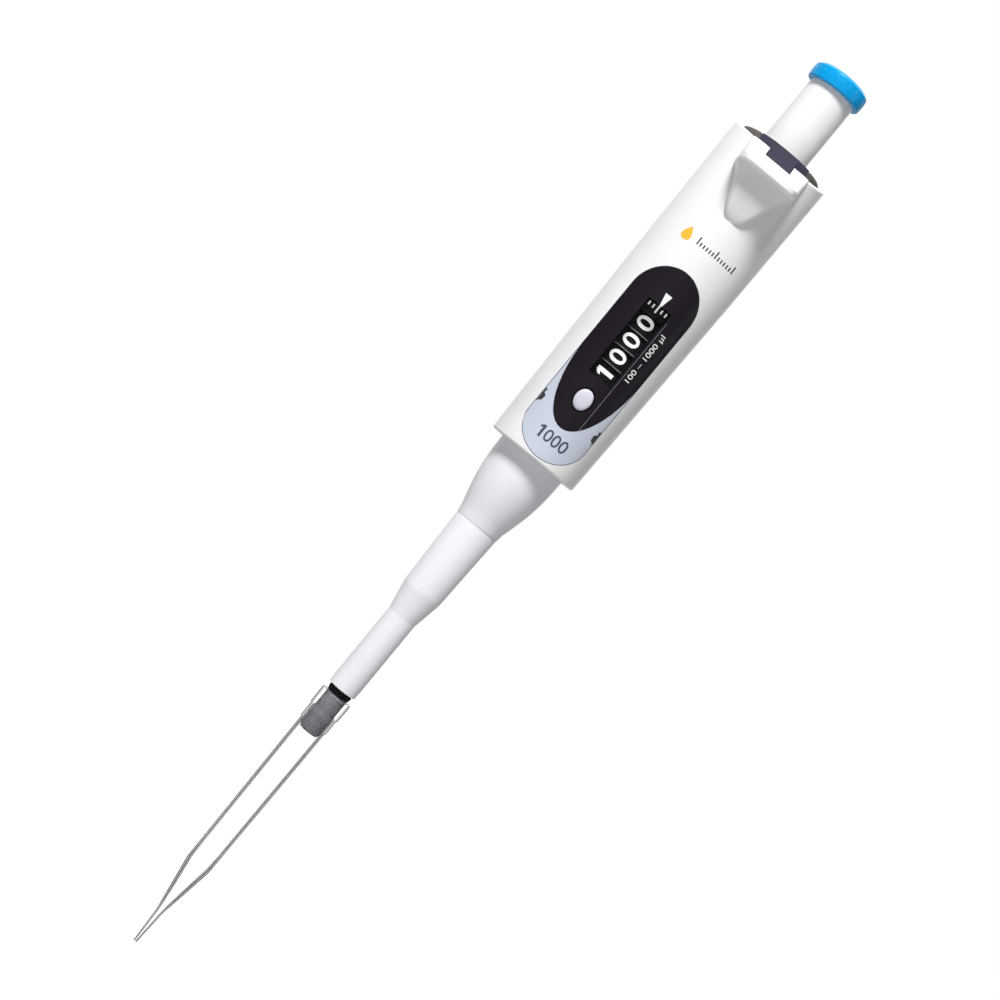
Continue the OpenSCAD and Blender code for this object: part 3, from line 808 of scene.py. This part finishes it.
def fitted(bm, width, tall, middle, upwards=False):
    # scales letters to a size and moves them; upwards letters read from below to above
    lows = [min(v.co[a] for v in bm.verts) for a in (0, 2)]
    highs = [max(v.co[a] for v in bm.verts) for a in (0, 2)]
    scale = (width / (highs[0] - lows[0]), tall / (highs[1] - lows[1]))
    for v in bm.verts:
        x = (v.co.x - (lows[0] + highs[0]) / 2) * scale[0]
        z = (v.co.z - (lows[1] + highs[1]) / 2) * scale[1]
        v.co = (middle[0] - z, 0, middle[1] + x) if upwards else (middle[0] + x, 0, middle[1] + z)
    return bm


def printed(name, bm, out, ink, slot="bezel_black"):
    # a thin print on the handle's front, standing out by a distance; the grey bezel line it also
    # lays is a painted reflection
    piece(name, laid(bm, out, 0.04 - out, step=0.5), "handle", slot, ink=ink)


frontMarks = {"bezel": 0.13, "panel": 0.08, "body": 0.05, "range": (16.2, 1.95), "sizeZ": 183.5,
          "sizeTall": 3.7, "reflectionX": (4.46, 4.56), "reflectionZ": (189.3, 227.9),
          "pointer": [(-0.3, 230.6), (0.3, 230.6), (1.12, 234.4), (-1.12, 234.4)],
          "notch": [(9.95, 188.9), (9.95, 193.6), (9.3, 193.3), (9.55, 192.3), (8.7, 191.6),
                    (9.2, 190.6), (8.9, 190.0), (9.6, 189.6)]}
printed("rangePrint", fitted(lettering("100 – 1000 µl", 0.004), *frontMarks["range"], (6.25, 216.8),
                             True), frontMarks["bezel"], printWhite)
# the grey line down the bezel is a painted reflection, a streak of light along the dark face
(reflectionLeft, reflectionRight), (reflectionLow, reflectionTop) = frontMarks["reflectionX"], frontMarks["reflectionZ"]
printed("bezelReflectionLine", flat([(reflectionLeft, reflectionLow), (reflectionRight, reflectionLow), (reflectionRight, reflectionTop),
                           (reflectionLeft, reflectionTop)]), frontMarks["bezel"], greyBarsAndReflection)
printed("pointer", flat(frontMarks["pointer"]), frontMarks["bezel"], printWhite)
printed("sizeNoughts", fitted(lettering("000", 0.006), 7.6, frontMarks["sizeTall"],
                              (1.55, frontMarks["sizeZ"])), frontMarks["panel"], printSlate,
        "label_silver")
printed("sizeOne", fitted(one(0.24), 1.5, frontMarks["sizeTall"], (-3.75, frontMarks["sizeZ"])),
        frontMarks["panel"], printSlate, "label_silver")
for side, mark in ((-1, "L"), (1, "R")):
    printed("sideNotch" + mark, flat([(side * x, z) for x, z in frontMarks["notch"]]),
            frontMarks["panel"], printDark, "label_silver")

# a plain drop and a short graduated scale in place of lettering
drop = {"x": -7.0, "z": 251.3, "half": 2.0, "rise": 2.2, "points": 40}
printed("dropMark", flat([(drop["x"] + drop["half"] * sin(a) * sin(a / 2) ** 1.4,
                           drop["z"] + drop["rise"] * cos(a))
                          for a in (2 * pi * k / drop["points"] for k in range(drop["points"]))]),
        frontMarks["body"], printAmber, "body_white")
scale = {"bars": 13, "left": -3.2, "spacing": 1.05, "low": 250.1, "half": 0.2, "tall": 2.3,
         "short": 1.2, "longEvery": 6}
barFlat = bmesh.new()
for k in range(scale["bars"]):
    top = scale["low"] + (scale["short"] if k % scale["longEvery"] else scale["tall"])
    left, right = (scale["left"] + scale["spacing"] * k + s * scale["half"] for s in (-1, 1))
    barFlat.faces.new([barFlat.verts.new((x, 0, z)) for x, z in (
        (left, scale["low"]), (right, scale["low"]), (right, top), (left, top))])
printed("scaleMark", barFlat, frontMarks["body"], printDark, "body_white")

# number rings

rings = {"r": 10.2, "low": 204.1, "pitch": 5.8, "half": 2.6, "digitWide": 3.7, "digitTall": 5.2,
         "names": ["thousands", "hundreds", "tens", "units"], "reading": [1, 0, 0, 0],
         "offset": [0.15, 0.3, 0.35, 0.75]}


def digitOn(number, middle, turn):
    # one number bent round a ring; its top points to -X at the front
    shape = one(0.34) if number == 1 else lettering(str(number), 0.018)
    bm = fitted(shape, 1, 1, (0, 0))
    wide = rings["digitWide"] * (0.58 if number == 1 else 1)
    for k in range(-3, 4):
        bmesh.ops.bisect_plane(bm, geom=bm.verts[:] + bm.edges[:] + bm.faces[:],
                               plane_co=(0, 0, k / 7), plane_no=(0, 0, 1))
    bm.verts.index_update()
    verts, count = [], len(bm.verts)
    for level in (0.03, -0.05):
        for v in bm.verts:
            angle = turn - v.co.z * rings["digitTall"] / rings["r"]
            r = rings["r"] + level
            verts.append((r * sin(angle), -r * cos(angle), middle + v.co.x * wide))
    faces = []
    for face in bm.faces:
        loop = [v.index for v in face.verts]
        faces += [loop, [i + count for i in reversed(loop)]]
    for edge in bm.edges:
        if len(edge.link_faces) == 1:
            a, b = (v.index for v in edge.verts)
            faces.append([a, b, b + count, a + count])
    bm.free()
    return meshFrom("digit", verts, faces)


# each ring's digits are drawn in the glowing white, a painted light
for k, (name, reading) in enumerate(zip(rings["names"], rings["reading"])):
    middle = rings["low"] + rings["pitch"] * k + rings["half"] + rings["offset"][k]
    digits = joined([digitOn(d, middle, radians(36 * (d - reading))) for d in range(10)])
    piece("digits" + name.title(), digits, "ring_" + name, "ring_black", ink=windowGlowWhite)


def strip(half, low, high, r, out):
    # an upright strip laid on a round surface, between two heights
    left, right = half if isinstance(half, tuple) else (-half, half)
    return laid(flat([(left, low), (right, low), (right, high), (left, high)]), out, 0,
                surface=lambda z: r)


# thin bars between the rings, a dark mask beside them, and a plate with the fine scale
window = {"barHalf": 4.3, "barThin": 0.12, "barOut": 0.35, "maskR": 12.7, "maskIn": 3.5,
          "maskOut": 4.7, "maskLow": 203.8, "top": 231.4, "maskThick": 0.15, "plateHalf": 4.6,
          "plateLow": 227.2, "plateThick": 0.2}
seams = [rings["low"] + rings["pitch"] * k - 0.1 for k in (1, 2, 3)]
bars = joined([strip(window["barHalf"], z - window["barThin"], z + window["barThin"], rings["r"],
                     window["barOut"]) for z in seams])
piece("windowBars", bars, "handle", "frame_grey", ink=greyBarsAndReflection)
masks = [strip((side * window["maskIn"], side * window["maskOut"]), window["maskLow"],
               window["top"], window["maskR"], window["maskThick"]) for side in (-1, 1)]
piece("windowMask", joined(masks), "handle", "ring_black")
piece("scalePlate", strip(window["plateHalf"], window["plateLow"], window["top"],
                          window["maskR"], window["plateThick"]), "handle", "ring_black")
ticks = {"count": 5, "spacing": 1.45, "face": window["maskR"] + window["plateThick"],
         "half": 0.22, "low": 229.1, "top": 230.3, "longHalf": 0.26, "longLow": 228.4,
         "longTop": 230.9}
tick = block((-ticks["half"], -ticks["face"] - 0.05, ticks["low"]),
             (ticks["half"], -ticks["face"] + 0.35, ticks["top"]))
tick.transform(Matrix.Translation((-ticks["spacing"] * (ticks["count"] - 1) / 2, 0, 0)))
shortTicks = grown("row", tick, windowGlowWhite, Copies=ticks["count"], Spacing=ticks["spacing"])
longTick = block((-ticks["longHalf"], -ticks["face"] - 0.06, ticks["longLow"]),
                 (ticks["longHalf"], -ticks["face"] + 0.4, ticks["longTop"]))
piece("fineTicks", joined([shortTicks, longTick]), "handle", "ring_black", ink=windowGlowWhite)
print("numbers and marks made")

# floor, light and camera

stage = {"drop": 0.5, "half": 6, "greyOut": 0.7, "whiteFrom": 1.6}
corners = [(x, y, 0) for x, y in ((-1, -1), (1, -1), (1, 1), (-1, 1))]
floorSheet = meshFrom("floor", corners, [[0, 1, 2, 3]])
floorSheet.transform(Matrix.Translation((0, 0, tipLow.z - stage["drop"]))
                     @ Matrix.Scale(stage["half"], 4))
floorPale = finish("floorPale", (0.6, 0.6, 0.6), 0.9, noiseScale=3, tintSpread=0.01,
                   Specular_IOR_Level=0.0)
# the floor is seen to brighten away from the object, into the white of the room
paleTree = floorPale.node_tree
spot = newNode(paleTree, "ShaderNodeTexCoord")
reach = newNode(paleTree, "ShaderNodeVectorMath", operation="LENGTH")
seen = newNode(paleTree, "ShaderNodeLightPath")
seenGlow = newNode(paleTree, "ShaderNodeMath", operation="MULTIPLY")
glow = newNode(paleTree, "ShaderNodeMapRange", {"From Min": stage["greyOut"],
                                                "From Max": stage["whiteFrom"], "To Max": 1.2},
               interpolation_type="SMOOTHSTEP")
paleTree.links.new(spot.outputs["Object"], reach.inputs[0])
paleTree.links.new(reach.outputs["Value"], glow.inputs["Value"])
paleTree.links.new(glow.outputs["Result"], seenGlow.inputs[0])
paleTree.links.new(seen.outputs["Is Camera Ray"], seenGlow.inputs[1])
paleShader = paleTree.nodes["Principled BSDF"]
paleShader.inputs["Emission Color"].default_value = (1, 1, 1, 1)
paleTree.links.new(seenGlow.outputs["Value"], paleShader.inputs["Emission Strength"])
floorSheet.materials.append(floorPale)
floorPiece = bpy.data.objects.new("floor", floorSheet)
scene.collection.objects.link(floorPiece)

room = bpy.data.worlds.new("room")
scene.world = room
room.use_nodes = True
roomTree = room.node_tree
sky = roomTree.nodes["Background"]
sky.inputs["Color"].default_value = (1, 1, 1, 1)
# the room's light is white, and dimmer from the right, the left and the front
heading = newNode(roomTree, "ShaderNodeTexCoord")
axes = newNode(roomTree, "ShaderNodeSeparateXYZ")
rightWall = newNode(roomTree, "ShaderNodeMapRange", {"From Min": 0.28, "From Max": 0.95,
                                                     "To Min": 1.0, "To Max": 0.12})
leftWall = newNode(roomTree, "ShaderNodeMapRange", {"From Min": -0.28, "From Max": -1.0,
                                                    "To Min": 1.0, "To Max": 0.38})
frontWall = newNode(roomTree, "ShaderNodeMapRange", {"From Min": 0.1, "From Max": 0.6,
                                                     "To Min": 0.33, "To Max": 1.0})
both = newNode(roomTree, "ShaderNodeMath", operation="MULTIPLY")
whole = newNode(roomTree, "ShaderNodeMath", operation="MULTIPLY")
roomTree.links.new(heading.outputs["Generated"], axes.inputs["Vector"])
for wallRange in (rightWall, leftWall):
    roomTree.links.new(axes.outputs["X"], wallRange.inputs["Value"])
roomTree.links.new(rightWall.outputs["Result"], both.inputs[0])
roomTree.links.new(leftWall.outputs["Result"], both.inputs[1])
roomTree.links.new(axes.outputs["Y"], frontWall.inputs["Value"])
roomTree.links.new(both.outputs["Value"], whole.inputs[0])
roomTree.links.new(frontWall.outputs["Result"], whole.inputs[1])
# what the camera sees of the room itself is plain white
glance = newNode(roomTree, "ShaderNodeLightPath")
shown = newNode(roomTree, "ShaderNodeMath", operation="MAXIMUM")
roomTree.links.new(whole.outputs["Value"], shown.inputs[0])
roomTree.links.new(glance.outputs["Is Camera Ray"], shown.inputs[1])
roomTree.links.new(shown.outputs["Value"], sky.inputs["Strength"])

middleZ = (cadBox[0][2] + cadBox[1][2]) / 2


def softLight(name, at, size, watts):
    # a broad lamp aimed at the upper half of the object
    lamp = bpy.data.lights.new(name, "AREA")
    lamp.shape = "RECTANGLE"
    lamp.size, lamp.size_y = size
    lamp.energy = watts
    made = bpy.data.objects.new(name, lamp)
    made.location = at
    aim = Vector((0, axisY, middleZ + 0.05)) - Vector(at)
    made.rotation_euler = aim.to_track_quat("-Z", "Y").to_euler()
    scene.collection.objects.link(made)


softLight("keyLight", (-0.5, -1.15, middleZ + 1.8), (0.45, 0.45), 61.0)
softLight("rimLight", (0.7, -0.25, middleZ + 0.30), (0.12, 0.6), 0.3)

view = {"side": 0.4, "rise": 161.3, "distance": 680, "azimuth": -2.1, "roll": 39.48, "lens": 86.9}
lens = bpy.data.cameras.new("camera")
lens.lens = view["lens"]
lens.sensor_width = 36
camera = bpy.data.objects.new("camera", lens)
turn = (Matrix.Translation((0, axisY, tipLow.z + view["rise"] * mm))
        @ Matrix.Rotation(radians(view["azimuth"]), 4, "Z")
        @ Matrix.Translation((view["side"] * mm, -view["distance"] * mm, 0))
        @ Matrix.Rotation(pi / 2, 4, "X") @ Matrix.Rotation(radians(view["roll"]), 4, "Z"))
camera.matrix_world = turn
scene.collection.objects.link(camera)
scene.camera = camera
scene.view_settings.view_transform = "Standard"
print("stage set")
